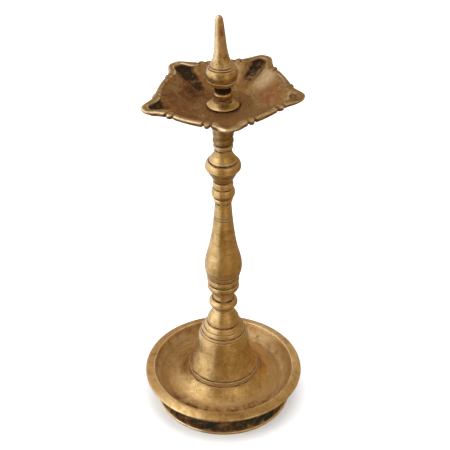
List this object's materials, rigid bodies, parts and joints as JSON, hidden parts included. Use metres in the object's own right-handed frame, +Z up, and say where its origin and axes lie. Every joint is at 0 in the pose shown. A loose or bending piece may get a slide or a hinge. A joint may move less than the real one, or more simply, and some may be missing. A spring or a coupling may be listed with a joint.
{
  "type": "standing oil lamp",
  "caption": "Standing brass oil lamp with a drip dish, a turned stem that unscrews, a beaked wick pan and a spire finial that screws down on it.",
  "frame": {"origin": "middle of the foot ring, on the ground the lamp stands on", "axes": "+Z up along the turned stem, -Y towards the front wick beak, +X to the right"},
  "size_m": [0.14, 0.14, 0.3715],
  "materials": {
    "dish_brass": "worn satin brass, black and green grime in the undercut below the rim",
    "stem_brass": "turned brass, hand rubbed, dark in the grooves",
    "pan_brass": "cast brass, brown and dull inside with soot in the rear wick channels, polished on the lip",
    "finial_brass": "turned brass, hand rubbed, soot in the neck",
    "washer_leather": "oil-soaked dark leather"
  },
  "bodies": {
    "base": {"base_dish": "dish_brass"},
    "knop": {"lower_knop": "stem_brass"},
    "stem": {"baluster": "stem_brass", "upper_knop": "stem_brass", "pan_washer": "washer_leather"},
    "pan": {"oil_pan": "pan_brass"},
    "collar": {"pan_collar": "finial_brass"},
    "finial": {"finial": "finial_brass"}
  },
  "joints": [
    {"name": "stem_rise", "type": "slide", "parent": "base", "child": "knop", "axis": [0, 0, 1], "range_m": [0, 0.01]},
    {"name": "stem_turn", "type": "hinge", "parent": "knop", "child": "stem", "pos_m": [0, 0, 0.1246], "axis": [0, 0, 1], "range_deg": [0, 1440]},
    {"name": "pan_turn", "type": "hinge", "parent": "stem", "child": "pan", "pos_m": [0, 0, 0.2617], "axis": [0, 0, 1], "continuous": true},
    {"name": "finial_rise", "type": "slide", "parent": "stem", "child": "collar", "axis": [0, 0, 1], "range_m": [0, 0.01]},
    {"name": "finial_turn", "type": "hinge", "parent": "collar", "child": "finial", "pos_m": [0, 0, 0.3013], "axis": [0, 0, 1], "range_deg": [0, 1440]}
  ],
  "couplings": [
    {"joint": "stem_turn", "follows": "stem_rise", "rad_per_m": 2513.3},
    {"joint": "finial_turn", "follows": "finial_rise", "rad_per_m": 2513.3}
  ]
}
